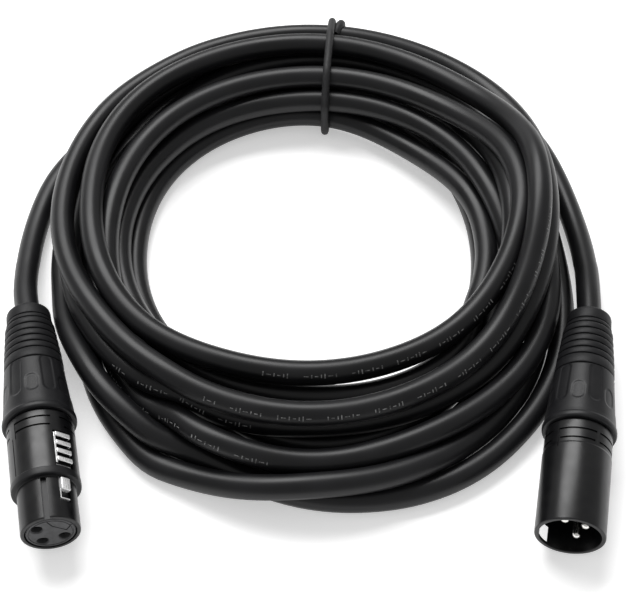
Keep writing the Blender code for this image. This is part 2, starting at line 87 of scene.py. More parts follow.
# ---------------------------------------------------------------- the cable's route
DIAMETER = 7.2
RADIUS = DIAMETER / 2
SPACING = 2.4                  # between neighbouring points of the cable's centreline
COIL_MIDDLE = (0.0, 70.0)
BACK_Y = 100.0                 # the turns beyond this lie at the back, where the tie goes round them
TIE_X = 5.2
TIE_RADIUS = 1.25
TIE_MIDDLE_Y = 121.0
TIE_LEAN = 0.075               # how far the tie leans to the right, per millimetre towards the back

# Leads, from each boot to the coil: the same points as in the CAD model
FEMALE_LEAD = ((-84.9, 47.5, 7.9), (-85.9, 58.0, 6.1), (-86.1, 69.0, 4.6), (-85.4, 79.0, 3.8),
               (-83.8, 88.5, 3.7), (-81.5, 97.5, 3.7))
MALE_LEAD = ((83.5, 45.0, 10.0), (84.4, 56.5, 7.8), (84.3, 68.0, 5.6), (83.4, 78.0, 4.1),
             (81.8, 88.0, 3.7), (79.7, 97.5, 3.7))
FEMALE_EXIT = (-82.57, 37.32, 9.57)
MALE_EXIT = (82.52, 34.84, 11.24)
# On the floor, from the female lead to the first turn
FEMALE_JOINING = ((-77.2, 105.6, 3.7), (-70.6, 115.2, 3.7))

# Each turn, run clockwise seen from above: the angle round the coil's middle in degrees, from the back (90)
# by the right (0), the front (-90) and the left (-180) to the back left, and there the distance from
# that middle and the height of the centreline
FIRST_PLACE = (83.0, 3.7)      # where the female lead joins, at the back left
PASSES = (
    {90: (78.0, 6.3), 45: (78.5, 3.6), 0: (75.4, 3.6), -45: (90.2, 3.6), -67.5: (93.4, 3.6),
     -90: (90.6, 3.6), -101.25: (86.2, 3.8), -112.5: (81.6, 5.0), -123.75: (82.4, 9.8), -135: (81.8, 10.8),
     -146.25: (78.2, 8.6), -157.5: (75.4, 4.2), -180: (75.0, 3.6), -225: (74.5, 3.7)},
    {90: (70.6, 6.3), 45: (71.2, 3.6), 0: (68.0, 3.6), -45: (83.8, 3.6), -67.5: (90.2, 7.2),
     -90: (91.6, 10.6), -101.25: (91.2, 7.8), -112.5: (88.2, 3.6), -123.75: (86.4, 3.6), -135: (82.6, 3.6),
     -146.25: (76.6, 3.6), -157.5: (70.4, 3.6), -180: (68.6, 3.6), -225: (70.0, 9.0)},
    {90: (74.2, 12.6), 45: (75.0, 9.9), 0: (72.3, 10.0), -45: (81.5, 10.8), -67.5: (83.5, 12.0),
     -90: (84.8, 10.9), -112.5: (82.2, 12.2), -123.75: (77.4, 6.8), -135: (75.0, 3.8),
     -180: (66.0, 9.9), -225: (65.5, 11.0)},
    {90: (66.6, 12.4), 45: (64.2, 14.5), 0: (61.8, 23.4), -45: (67.0, 3.6), -67.5: (73.0, 3.6),
     -90: (74.4, 3.6), -112.5: (67.6, 3.6), -135: (66.0, 3.6), -180: (62.4, 3.6), -225: (63.0, 3.8)},
    {90: (63.2, 6.3), 45: (57.6, 3.6), 22.5: (54.2, 3.6), 0: (53.8, 3.6), -22.5: (56.2, 3.6),
     -45: (60.5, 3.6), -67.5: (65.0, 3.6), -90: (66.9, 3.6), -112.5: (60.8, 3.6), -135: (58.5, 3.8),
     -180: (54.0, 3.6), -225: (55.9, 4.0)},
    {90: (54.6, 6.3), 45: (50.0, 7.4), 33.75: (50.4, 8.8), 22.5: (52.2, 9.8), 0: (55.2, 10.7),
     -22.5: (58.6, 10.7), -45: (64.5, 10.7), -67.5: (65.0, 11.0), -90: (63.2, 11.0), -112.5: (62.0, 10.4),
     -135: (61.1, 9.9), -180: (58.5, 9.6), -225: (57.5, 10.8)},
    {90: (53.9, 13.5), 45: (55.2, 15.0), 0: (58.6, 17.0), -45: (74.3, 3.6), -67.5: (81.5, 3.6),
     -90: (83.0, 3.6), -112.5: (74.6, 4.0), -135: (68.3, 10.2), -180: (61.3, 15.7),
     -225: (61.3, 17.3)},
    {90: (60.0, 18.4), 45: (60.8, 20.8), 0: (64.2, 29.6), -45: (61.6, 18.6), -67.5: (60.2, 18.0),
     -90: (60.0, 18.2), -112.5: (61.0, 18.8), -135: (64.5, 19.8), -180: (65.7, 21.7),
     -225: (73.0, 20.6)},
    {90: (73.4, 20.6), 45: (71.3, 21.5), 0: (68.2, 35.4), -45: (71.5, 18.6), -67.5: (73.0, 18.0),
     -90: (73.6, 17.9), -112.5: (72.6, 17.8), -135: (71.6, 17.2), -180: (75.3, 16.6),
     -225: (80.4, 15.6)},
    {90: (80.4, 18.2), 45: (82.6, 14.2), 0: (73.0, 18.5), -45: (73.8, 11.0), -67.5: (73.2, 10.8),
     -90: (72.6, 10.7), -112.5: (75.0, 10.8), -135: (75.0, 12.0), -146.25: (74.0, 12.6),
     -157.5: (73.0, 11.2), -180: (72.4, 10.4), -225: (78.5, 8.5)},
    {90: (85.4, 6.3), 45: (87.0, 3.6), 27: (86.2, 3.6)},
)


def coil_points(step=7.5):
    """The turns as points, run clockwise seen from above, with radius and height eased between stations."""
    angles = [135.0]
    places = [FIRST_PLACE]
    for turn, one_pass in enumerate(PASSES):
        angles += [angle - 360.0 * turn for angle in one_pass]
        places += one_pass.values()
    angles, places = np.array(angles), np.array(places)
    wanted = np.arange(angles[0], angles[-1] - 0.1, -step)
    slopes = np.gradient(places, angles, axis=0)
    index = np.clip(np.searchsorted(-angles, -wanted, side="right") - 1, 0, len(angles) - 2)
    width = angles[index + 1] - angles[index]
    t = ((wanted - angles[index]) / width)[:, None]
    width = width[:, None]
    eased = ((2 * t ** 3 - 3 * t ** 2 + 1) * places[index]
             + (t ** 3 - 2 * t ** 2 + t) * width * slopes[index]
             + (3 * t ** 2 - 2 * t ** 3) * places[index + 1]
             + (t ** 3 - t ** 2) * width * slopes[index + 1])
    radius, height = eased.T
    turned = np.radians(wanted)
    return np.column_stack([COIL_MIDDLE[0] + radius * np.cos(turned),
                            COIL_MIDDLE[1] + radius * np.sin(turned), height])


def route_points():
    """The whole cable, from the female boot to the male boot."""
    return np.vstack([FEMALE_EXIT, FEMALE_LEAD, FEMALE_JOINING, coil_points(), MALE_LEAD[::-1], MALE_EXIT])


def smooth(points, spacing):
    """Evenly spaced points on a centripetal Catmull-Rom curve through the given ones."""
    padded = np.vstack([2 * points[0] - points[1], points, 2 * points[-1] - points[-2]])
    fine = []
    for a, b, c, d in zip(padded, padded[1:], padded[2:], padded[3:]):
        ta = 0.0
        tb = ta + np.linalg.norm(b - a) ** 0.5
        tc = tb + np.linalg.norm(c - b) ** 0.5
        td = tc + np.linalg.norm(d - c) ** 0.5
        t = np.linspace(tb, tc, 24, endpoint=False)[:, None]
        ab = (tb - t) / (tb - ta) * a + (t - ta) / (tb - ta) * b
        bc = (tc - t) / (tc - tb) * b + (t - tb) / (tc - tb) * c
        cd = (td - t) / (td - tc) * c + (t - tc) / (td - tc) * d
        abc = (tc - t) / (tc - ta) * ab + (t - ta) / (tc - ta) * bc
        bcd = (td - t) / (td - tb) * bc + (t - tb) / (td - tb) * cd
        fine.append((tc - t) / (tc - tb) * abc + (t - tb) / (tc - tb) * bcd)
    fine = np.vstack(fine + [points[-1:]])
    return respaced(fine, spacing)


def respaced(line, spacing):
    """The same line with evenly spaced points."""
    steps = np.linalg.norm(np.diff(line, axis=0), axis=1)
    along = np.concatenate([[0.0], np.cumsum(steps)])
    count = max(2, int(round(along[-1] / spacing)) + 1)
    wanted = np.linspace(0.0, along[-1], count)
    return np.column_stack([np.interp(wanted, along, line[:, axis]) for axis in range(3)])


def near_pairs(line, reach, skip):
    """Pairs of points of the line that are within reach of each other and not neighbours along it."""
    cells = {}
    keys = np.floor(line / reach).astype(int)
    for index, key in enumerate(map(tuple, keys)):
        cells.setdefault(key, []).append(index)
    first, second = [], []
    offsets = [(i, j, k) for i in (-1, 0, 1) for j in (-1, 0, 1) for k in (-1, 0, 1)]
    for key, members in cells.items():
        around = [m for o in offsets for m in cells.get((key[0] + o[0], key[1] + o[1], key[2] + o[2]), ())]
        around = np.array(around)
        for index in members:
            found = around[around > index + skip]
            first.append(np.full(len(found), index))
            second.append(found)
    first, second = np.concatenate(first), np.concatenate(second)
    close = np.linalg.norm(line[first] - line[second], axis=1) < reach
    return first[close], second[close]


def floor_height(line):
    """Lowest height of the centreline: on the floor, or on the tie where that passes under the coil."""
    rise = 2 * TIE_RADIUS + 0.25
    spread = 16.0
    lift = rise * np.exp(-((line[:, 0] - TIE_X) / spread) ** 2) * (line[:, 1] > BACK_Y)
    return RADIUS + lift


def averaged(values, width):
    """Each row averaged with that many rows on either side, the nearer ones counting more."""
    kernel = np.hanning(2 * width + 3)[1:-1]
    kernel /= kernel.sum()
    padded = np.pad(values, ((width, width), (0, 0)), mode="edge")
    return np.column_stack([np.convolve(padded[:, axis], kernel, mode="valid") for axis in range(3)])


def settle(start):
    """Lays the turns on the floor and on each other, a diameter apart, near where they start.

    Each round pushes overlapping strands apart, lifts them off the floor, lets them sink a little and draws
    them back across the camera's line of sight. The ends stay in their boots.
    """
    rounds = 260
    final_rounds = 30              # smoothed less, so that the last overlaps go
    search_every = 8
    search_margin = 3.0
    clearance = 0.03
    push_share = 1.2
    sink = 0.01
    draw_back = 0.12
    draw_down = 0.02
    held_length = 60.0
    held_fade = 20.0
    skip = int(3.2 * DIAMETER / SPACING)

    eye = np.array(bpy.context.scene.camera.location) / MM
    ray = start - eye
    ray /= np.linalg.norm(ray, axis=1)[:, None]
    held_count = int(held_length / SPACING)
    held = np.zeros_like(start)
    held[:held_count] = 1.0
    held[-held_count:] = 1.0
    held = averaged(held, int(held_fade / SPACING))
    moved = np.zeros_like(start)
    for step in range(rounds):
        line = start + moved
        if step % search_every == 0:
            first, second = near_pairs(line, DIAMETER + search_margin, skip)
        for _ in range(3):
            line = start + moved
            gap = line[first] - line[second]
            distance = np.linalg.norm(gap, axis=1)
            depth = np.maximum(DIAMETER + clearance - distance, 0.0)
            push = gap / np.maximum(distance, 1e-6)[:, None] * depth[:, None] * 0.5
            total = np.zeros_like(moved)
            count = np.zeros(len(moved))
            np.add.at(total, first, push)
            np.add.at(total, second, -push)
            np.add.at(count, first, depth > 0)
            np.add.at(count, second, depth > 0)
            moved += total / np.maximum(count, 1.0)[:, None] * push_share
            line = start + moved
            moved[:, 2] += np.maximum(floor_height(line) - line[:, 2], 0.0)
        ease = 1.0 - step / rounds
        moved[:, 2] -= sink * ease
        sideways = moved - (moved * ray).sum(axis=1)[:, None] * ray
        moved -= draw_back * ease * sideways
        moved[:, 2] -= draw_down * ease * moved[:, 2]
        moved = averaged(moved, 4 if step < rounds - final_rounds else 1)
        moved *= 1.0 - held
    line = start + moved
    line[:, 2] = np.maximum(line[:, 2], floor_height(line))
    return line


# ---------------------------------------------------------------- materials
def node_material(name, colour, roughness, metallic=0.0, specular=0.5, coat=0.0):
    material = bpy.data.materials.new(name)
    material.use_nodes = True
    shader = material.node_tree.nodes["Principled BSDF"]
    shader.inputs["Base Color"].default_value = (*colour, 1.0)
    shader.inputs["Roughness"].default_value = roughness
    shader.inputs["Metallic"].default_value = metallic
    shader.inputs["Specular IOR Level"].default_value = specular
    shader.inputs["Coat Weight"].default_value = coat
    shader.inputs["Coat Roughness"].default_value = 0.08
    return material


def add_noise(material, scale, detail=4.0, stretch=(1.0, 1.0, 1.0)):
    """Noise in the object's own space, scale in cells per millimetre."""
    tree = material.node_tree
    place = tree.nodes.new("ShaderNodeTexCoord")
    mapping = tree.nodes.new("ShaderNodeMapping")
    mapping.inputs["Scale"].default_value = [1000.0 * scale * part for part in stretch]
    noise = tree.nodes.new("ShaderNodeTexNoise")
    noise.inputs["Scale"].default_value = 1.0
    noise.inputs["Detail"].default_value = detail
    tree.links.new(place.outputs["Object"], mapping.inputs["Vector"])
    tree.links.new(mapping.outputs["Vector"], noise.inputs["Vector"])
    return noise


def vary(material, noise, socket, low, high):
    """Lets the noise move a number of the shader, such as its roughness, between two values."""
    tree = material.node_tree
    span = tree.nodes.new("ShaderNodeMapRange")
    span.inputs["From Min"].default_value = 0.3
    span.inputs["From Max"].default_value = 0.7
    span.inputs["To Min"].default_value = low
    span.inputs["To Max"].default_value = high
    tree.links.new(noise.outputs["Fac"], span.inputs["Value"])
    tree.links.new(span.outputs["Result"], tree.nodes["Principled BSDF"].inputs[socket])


def vary_colour(material, noise, low, high):
    """Lets the noise move the base colour between two colours."""
    tree = material.node_tree
    ramp = tree.nodes.new("ShaderNodeValToRGB")
    ramp.color_ramp.elements[0].position = 0.35
    ramp.color_ramp.elements[0].color = (*low, 1.0)
    ramp.color_ramp.elements[1].position = 0.65
    ramp.color_ramp.elements[1].color = (*high, 1.0)
    tree.links.new(noise.outputs["Fac"], ramp.inputs["Fac"])
    tree.links.new(ramp.outputs["Color"], tree.nodes["Principled BSDF"].inputs["Base Color"])


def roughen(material, noise, height):
    """Bump of the given height in millimetres."""
    tree = material.node_tree
    bump = tree.nodes.new("ShaderNodeBump")
    bump.inputs["Strength"].default_value = 1.0
    bump.inputs["Distance"].default_value = height * MM
    tree.links.new(noise.outputs["Fac"], bump.inputs["Height"])
    tree.links.new(bump.outputs["Normal"], tree.nodes["Principled BSDF"].inputs["Normal"])


def jacket_material():
    material = node_material("cable_jacket", (0.006, 0.006, 0.007), 0.36, specular=0.32)
    broad = add_noise(material, 0.05, detail=3.0)
    vary(material, broad, "Roughness", 0.33, 0.42)
    vary_colour(material, broad, (0.004, 0.004, 0.0045), (0.008, 0.008, 0.009))
    roughen(material, add_noise(material, 2.5), 0.012)
    return material


def boot_material():
    material = node_material("boot_rubber", (0.009, 0.009, 0.010), 0.5, specular=0.24)
    fine = add_noise(material, 3.0)
    vary(material, fine, "Roughness", 0.44, 0.58)
    vary_colour(material, add_noise(material, 0.2), (0.007, 0.007, 0.008), (0.012, 0.012, 0.013))
    roughen(material, fine, 0.02)
    return material


def bushing_material():
    material = node_material("bushing_plastic", (0.009, 0.009, 0.010), 0.4, specular=0.26)
    fine = add_noise(material, 4.0)
    vary(material, fine, "Roughness", 0.36, 0.46)
    vary_colour(material, add_noise(material, 0.15), (0.007, 0.007, 0.008), (0.012, 0.012, 0.013))
    roughen(material, fine, 0.01)
    return material


def shell_material():
    material = node_material("black_shell", (0.003, 0.003, 0.0035), 0.32, specular=0.38)
    broad = add_noise(material, 0.3)
    vary(material, broad, "Roughness", 0.28, 0.36)
    vary_colour(material, broad, (0.002, 0.002, 0.0025), (0.004, 0.004, 0.0045))
    roughen(material, add_noise(material, 0.8, detail=2.0), 0.006)
    return material


def insert_material():
    material = node_material("insert_plastic", (0.05, 0.05, 0.052), 0.55, specular=0.4)
    fine = add_noise(material, 3.0)
    vary(material, fine, "Roughness", 0.48, 0.64)
    vary_colour(material, add_noise(material, 0.6), (0.040, 0.040, 0.042), (0.062, 0.062, 0.065))
    roughen(material, fine, 0.015)
    return material


def metal_material(name, colour, low, high):
    material = node_material(name, colour, low, metallic=1.0)
    streaks = add_noise(material, 1.5, stretch=(3.0, 0.4, 3.0))
    vary(material, streaks, "Roughness", low, high)
    vary_colour(material, streaks, [part * 0.9 for part in colour], colour)
    roughen(material, streaks, 0.003)
    return material


def latch_material():
    material = metal_material("chromed_latch", (0.95, 0.95, 0.95), 0.24, 0.36)
    material.node_tree.nodes["Principled BSDF"].inputs["Metallic"].default_value = 0.55
    return material


def glow_patch_material():
    """A pale patch let into the wall of the male mouth that glows by itself: painted light standing in for
    the lit floor seen through the mouth's window.
    """
    material = metal_material("catch_plate", (0.9, 0.9, 0.9), 0.3, 0.45)
    shader = material.node_tree.nodes["Principled BSDF"]
    shader.inputs["Metallic"].default_value = 0.2
    # painted light: the patch's own glow makes it read as lit floor
    shader.inputs["Emission Color"].default_value = (1.0, 1.0, 1.0, 1.0)
    shader.inputs["Emission Strength"].default_value = 0.7
    return material


def plastic_material(name, colour, roughness):
    material = node_material(name, colour, roughness)
    fine = add_noise(material, 1.0)
    vary(material, fine, "Roughness", roughness - 0.06, roughness + 0.06)
    vary_colour(material, fine, [part * 0.85 for part in colour], colour)
    roughen(material, fine, 0.008)
    return material


def tie_material():
    material = node_material("tie_cord", (0.012, 0.012, 0.013), 0.62, specular=0.4)
    fine = add_noise(material, 2.2, detail=2.0, stretch=(1.0, 0.5, 0.5))
    vary(material, fine, "Roughness", 0.52, 0.74)
    vary_colour(material, fine, (0.008, 0.008, 0.009), (0.022, 0.022, 0.023))
    roughen(material, fine, 0.08)
    return material


def print_material():
    material = node_material("printed_marks", (0.20, 0.20, 0.20), 0.6, specular=0.2)
    worn = add_noise(material, 1.4)
    vary_colour(material, worn, (0.06, 0.06, 0.06), (0.26, 0.26, 0.26))
    roughen(material, worn, 0.004)
    return material


def make_materials():
    return {
        "jacket": jacket_material(),
        "boot": boot_material(),
        "bushing": bushing_material(),
        "shell": shell_material(),
        "insert": insert_material(),
        "contact": metal_material("silver_contact", (0.86, 0.85, 0.82), 0.14, 0.24),
        "latch": latch_material(),
        "glow_patch": glow_patch_material(),
        "spring": metal_material("spring_steel", (0.55, 0.55, 0.56), 0.25, 0.38),
        "chuck": plastic_material("chuck_plastic", (0.68, 0.68, 0.66), 0.45),
        "wire_white": plastic_material("wire_white", (0.80, 0.80, 0.78), 0.42),
        "wire_red": plastic_material("wire_red", (0.50, 0.04, 0.03), 0.42),
        "wire_shield": metal_material("shield_copper", (0.72, 0.42, 0.24), 0.28, 0.42),
        "tie": tie_material(),
        "print": print_material(),
    }


# ---------------------------------------------------------------- mesh tools
SEGMENTS = 144
SHARP_ANGLE = 32.0


def finish_mesh(name, bm, material, matrix, sharp=SHARP_ANGLE):
    """Turns a bmesh in millimetres, drawn about a connector's axis, into an object in the world."""
    bmesh.ops.recalc_face_normals(bm, faces=bm.faces)
    if bm.calc_volume(signed=True) < 0.0:
        bmesh.ops.reverse_faces(bm, faces=bm.faces)
    bm.transform(Matrix.Scale(MM, 4))
    bm.transform(matrix)
    mesh = bpy.data.meshes.new(name)
    bm.to_mesh(mesh)
    bm.free()
    mesh.shade_smooth()
    mesh.set_sharp_from_angle(angle=math.radians(sharp))
    if material:
        mesh.materials.append(material)
    item = bpy.data.objects.new(name, mesh)
    bpy.context.scene.collection.objects.link(item)
    return item


def rounded(outline, bevels):
    """The outline with the listed corners (index: radius) each turned into an arc of four points."""
    points = [Vector((*point, 0.0)) for point in outline]
    result = []
    for index, point in enumerate(points):
        if index not in bevels:
            result.append(tuple(point.xy))
            continue
        before = points[index - 1] - point
        after = points[(index + 1) % len(points)] - point
        reach = min(bevels[index], 0.45 * before.length, 0.45 * after.length)
        start = point + before.normalized() * reach
        end = point + after.normalized() * reach
        for t in (0.0, 1 / 3, 2 / 3, 1.0):
            curved = start * (1 - t) ** 2 + point * 2 * t * (1 - t) + end * t ** 2
            result.append(tuple(curved.xy))
    return result


def lathe(outline, segments=SEGMENTS, start=0.0, sweep=360.0):
    """Spins an outline of (radius, station) points about Z, a full turn or a sector with flat ends."""
    bm = bmesh.new()
    whole = sweep >= 360.0
    count = segments if whole else max(2, round(segments * sweep / 360.0)) + 1
    columns = []
    for column in range(count):
        angle = math.radians(start + sweep * column / (count if whole else count - 1))
        columns.append([bm.verts.new((radius * math.cos(angle), radius * math.sin(angle), station))
                        for radius, station in outline])
    pairs = list(zip(columns, columns[1:]))
    if whole:
        pairs.append((columns[-1], columns[0]))
    for here, there in pairs:
        for index in range(len(outline)):
            after = (index + 1) % len(outline)
            if outline[index][0] or outline[after][0]:
                bm.faces.new((here[index], there[index], there[after], here[after]))
    if not whole:
        bm.faces.new(columns[0])
        bm.faces.new(columns[-1])
    bmesh.ops.remove_doubles(bm, verts=bm.verts, dist=1e-5)
    return bm


def block(radii, width, stations, angle, bevel=0.0):
    """A box across the axis at the given angle: radial range, width, range along the axis."""
    bm = bmesh.new()
    bmesh.ops.create_cube(bm, size=1.0)
    bmesh.ops.scale(bm, vec=(radii[1] - radii[0], width, stations[1] - stations[0]), verts=bm.verts)
    bmesh.ops.translate(bm, vec=(sum(radii) / 2, 0.0, sum(stations) / 2), verts=bm.verts)
    if bevel:
        bmesh.ops.bevel(bm, geom=bm.edges[:], offset=bevel, segments=3, profile=0.5, affect="EDGES")
    bm.transform(Matrix.Rotation(math.radians(angle), 4, "Z"))
    return bm


def cut(target, bm, matrix, operation="DIFFERENCE"):
    """Cuts the target with, or joins to it, a bmesh drawn in the connector's millimetres."""
    tool = finish_mesh("cutter", bm, None, matrix)
    modifier = target.modifiers.new("cut", "BOOLEAN")
    modifier.operation = operation
    modifier.solver = "EXACT"
    modifier.object = tool
    graph = bpy.context.evaluated_depsgraph_get()
    mesh = bpy.data.meshes.new_from_object(target.evaluated_get(graph))
    target.modifiers.clear()
    target.data = mesh
    bpy.data.objects.remove(tool, do_unlink=True)
    mesh.shade_smooth()
    mesh.set_sharp_from_angle(angle=math.radians(SHARP_ANGLE))


def carry(item, slot, *nodes, body="root"):
    """Says which body carries the piece and which CAD nodes it replaces; its slot argument is not used."""
    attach(item, body)
    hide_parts(*nodes)


# ---------------------------------------------------------------- connectors
RIM_RADIUS = 10.4
RIM_LIP = (-1.3, -0.6)         # stations of the rim's widest band
BOOT_END = -41.0
BUSHING_END = -19.15
NECK_END = -9.0
NECK_RADIUS = 7.9
SHELL_RADIUS = 9.35
MALE_SHELL_RADIUS = 9.5
BORE_RADIUS = 6.95
NOSE_RADIUS = 8.0
MOUTH_RADIUS = 8.3
FLANGE = (19.3, 21.6)
FEMALE_FACE = 34.5
MALE_MOUTH = 31.8
MALE_FLOOR = 15.5
LATCH_ANGLE = 48.0
KEYWAY_ANGLE = 89.0
BEYOND = 11.0                  # a radius outside every shell, for cutters
POLE_CIRCLE = 4.2
PIN_RADIUS = 1.2
FEMALE_POLES = (143.0, 323.0, 232.5)
MALE_POLES = (118.0, 298.0, 28.0)
GAP = 0.3


def at_pole(bm, angle):
    """Moves a bmesh drawn about the axis out to a pole."""
    turned = math.radians(angle)
    bmesh.ops.translate(bm, vec=(POLE_CIRCLE * math.cos(turned), POLE_CIRCLE * math.sin(turned), 0.0),
                        verts=bm.verts)
    return bm


def connector_matrix(place, yaw, pitch):
    """World placing of a connector: its rim rests on the floor, its nose points along its own +Z."""
    lowest = RIM_LIP[0] if pitch > 0.0 else RIM_LIP[1]
    height = RIM_RADIUS * math.cos(math.radians(pitch)) - lowest * math.sin(math.radians(pitch))
    turn = Matrix.Rotation(math.radians(yaw), 4, "Z") @ Matrix.Rotation(math.radians(90.0 - pitch), 4, "X")
    return Matrix.Translation(Vector((*place, height)) * MM) @ turn


def stadium(across, along, half_width, half_length):
    """Depth from 1 inside a round-ended slot to 0 outside it, with a soft edge."""
    edge = 0.45
    beyond = max(0.0, abs(along) - (half_length - half_width))
    distance = math.hypot(across, beyond) - half_width
    return min(1.0, max(0.0, 0.5 - distance / edge))


def make_bushing(side, matrix, material, first_angle):
    """Threaded cap with round-ended grip recesses, long and short ones in turn."""
    collar = -2.2
    cone_stations = (BUSHING_END, -15.0, -11.0, -7.0, -3.0, collar)
    cone_radii = (8.6, 8.95, 9.3, 9.6, 10.0, 10.12)
    stations = np.arange(BUSHING_END, collar, 0.22)
    outer = list(zip(np.interp(stations, cone_stations, cone_radii), stations))
    lip = [(10.12, collar), (10.14, -1.95), (10.34, -1.7), (RIM_RADIUS, RIM_LIP[0]), (RIM_RADIUS, -0.85),
           (10.36, -0.5), (10.24, -0.2), (10.05, -0.03), (9.9, 0.0)]
    inner = [(NECK_RADIUS + GAP, 0.0), (NECK_RADIUS + GAP, NECK_END - GAP), (7.0, NECK_END - 0.9),
             (6.1, -16.3), (6.1, BUSHING_END + 0.05), (6.2, BUSHING_END), (8.4, BUSHING_END)]
    bm = lathe([*outer[1:], *lip, *inner], segments=240)

    recess_depth = 0.2
    recess_half_width = 1.75
    recess_pitch = 30.0
    long_recess, short_recess = (-12.9, 6.4), (-9.45, 2.95)      # middle station, half length
    for vertex in bm.verts:
        radius = math.hypot(vertex.co.x, vertex.co.y)
        if radius < 8.5 or vertex.co.z > -3.0:
            continue
        angle = math.degrees(math.atan2(vertex.co.y, vertex.co.x)) - first_angle
        number = round(angle / recess_pitch)
        across = math.radians(angle - number * recess_pitch) * radius
        middle, half_length = short_recess if number % 2 else long_recess
        depth = recess_depth * stadium(across, vertex.co.z - middle, recess_half_width, half_length)
        vertex.co.xy *= 1.0 - depth / radius
    item = finish_mesh(f"{side}_bushing_grip", bm, material, matrix, sharp=50.0)
    carry(item, "bushing", f"{side}_bushing")


def make_boot(side, matrix, material):
    """Rubber strain relief: a rounded collar, five convex ribs with narrow grooves, a plain band."""
    front = BUSHING_END - GAP
    outline = [(3.9, BOOT_END + 0.3), (4.2, BOOT_END), (5.6, BOOT_END), (6.05, BOOT_END + 0.12),
               (6.35, BOOT_END + 0.45), (6.45, BOOT_END + 0.9), (6.55, -37.25), (6.5, -37.08),
               (6.15, -36.98), (6.15, -36.75), (6.62, -36.6), (6.75, -36.4), (6.9, -35.45), (6.8, -35.3)]
    pitch = 2.44
    first_rib = -35.2
    for rib in range(5):
        start = first_rib + pitch * rib
        radius = 7.2 + 0.24 * rib
        outline += [(radius - 0.62, start), (radius - 0.62, start + 0.4), (radius - 0.2, start + 0.52)]
        outline += [(radius + 0.1 * math.sin(math.pi * t), start + 0.6 + t * (pitch - 0.75))
                    for t in (0.0, 0.15, 0.35, 0.55, 0.75, 0.9, 1.0)]
        outline.append((radius - 0.12, start + pitch - 0.06))
    outline += [(7.6, -22.98), (7.7, -22.8), (8.2, -22.65), (8.35, -22.4), (8.5, front - 0.4),
                (8.42, front - 0.08), (8.3, front), (3.9, front)]
    item = finish_mesh(f"{side}_boot_rubber", lathe(outline, segments=120), material, matrix, sharp=60.0)
    carry(item, "boot", f"{side}_boot")


def groove(matrix, shell, station, arcs):
    """A shallow turned groove, interrupted by lands: arcs of a start angle and a sweep."""
    floor = SHELL_RADIUS - 0.4
    outside = SHELL_RADIUS + 0.6
    end = station + 0.6
    for start, sweep in arcs:
        ring = [(floor, station), (outside, station), (outside, end), (floor, end)]
        cut(shell, lathe(ring, start=start, sweep=sweep), matrix)


def coat_faces(item, matrix, material, stations, radii):
    """Gives a second material to the faces centred between two stations and two radii."""
    if material.name not in item.data.materials:
        item.data.materials.append(material)
    to_axis = matrix.inverted()
    for polygon in item.data.polygons:
        place = to_axis @ polygon.center / MM
        if stations[0] < place.z < stations[1] and radii[0] < math.hypot(place.x, place.y) < radii[1]:
            polygon.material_index = 1


def make_female_shell(matrix, material, matte):
    """Cast tube with flange and nose; the flange and the keyway's floor are matte."""
    outline = [(NECK_RADIUS, NECK_END), (NECK_RADIUS, GAP), (SHELL_RADIUS, GAP), (SHELL_RADIUS, FLANGE[0]),
               (SHELL_RADIUS + 0.15, FLANGE[0] + 0.15), (SHELL_RADIUS + 0.15, FLANGE[1]),
               (NOSE_RADIUS, FLANGE[1]), (NOSE_RADIUS, FEMALE_FACE), (BORE_RADIUS, FEMALE_FACE),
               (BORE_RADIUS, NECK_END)]
    outline = rounded(outline, {2: 0.5, 4: 0.3, 5: 0.8, 6: 0.3, 7: 0.5, 8: 0.15})
    shell = finish_mesh("female_shell_cast", lathe(outline), material, matrix)
    groove(matrix, shell, 2.4, ((66.0, 65.0), (147.0, 95.0), (250.0, 160.0)))
    groove(matrix, shell, 5.2, ((68.0, 63.0), (149.0, 93.0), (252.0, 150.0)))
    for angle, stations in ((131.0, (2.4, 7.6)), (139.0, (7.0, 19.0))):
        cut(shell, block((SHELL_RADIUS - 0.25, BEYOND), 0.35, stations, angle), matrix)
    pad_window = block((5.0, BEYOND), 5.6, (7.3, 19.0), LATCH_ANGLE, bevel=0.25)
    hook_window = block((5.0, BEYOND), 3.4, (21.9, 29.1), LATCH_ANGLE, bevel=0.2)
    lever_channel = block((5.0, 7.85), 3.4, (5.5, 29.0), LATCH_ANGLE)
    keyway = block((7.2, 9.0), 1.6, (FLANGE[1] + 0.4, FEMALE_FACE + 1.0), KEYWAY_ANGLE)
    for opening in (pad_window, hook_window, lever_channel, keyway):
        cut(shell, opening, matrix)
    coat_faces(shell, matrix, matte, (FLANGE[1], FEMALE_FACE), (7.1, 7.45))
    coat_faces(shell, matrix, matte, (FLANGE[0] - 0.1, FLANGE[1] + 0.05), (NOSE_RADIUS + 0.2, BEYOND))
    carry(shell, "shell", "female_shell")


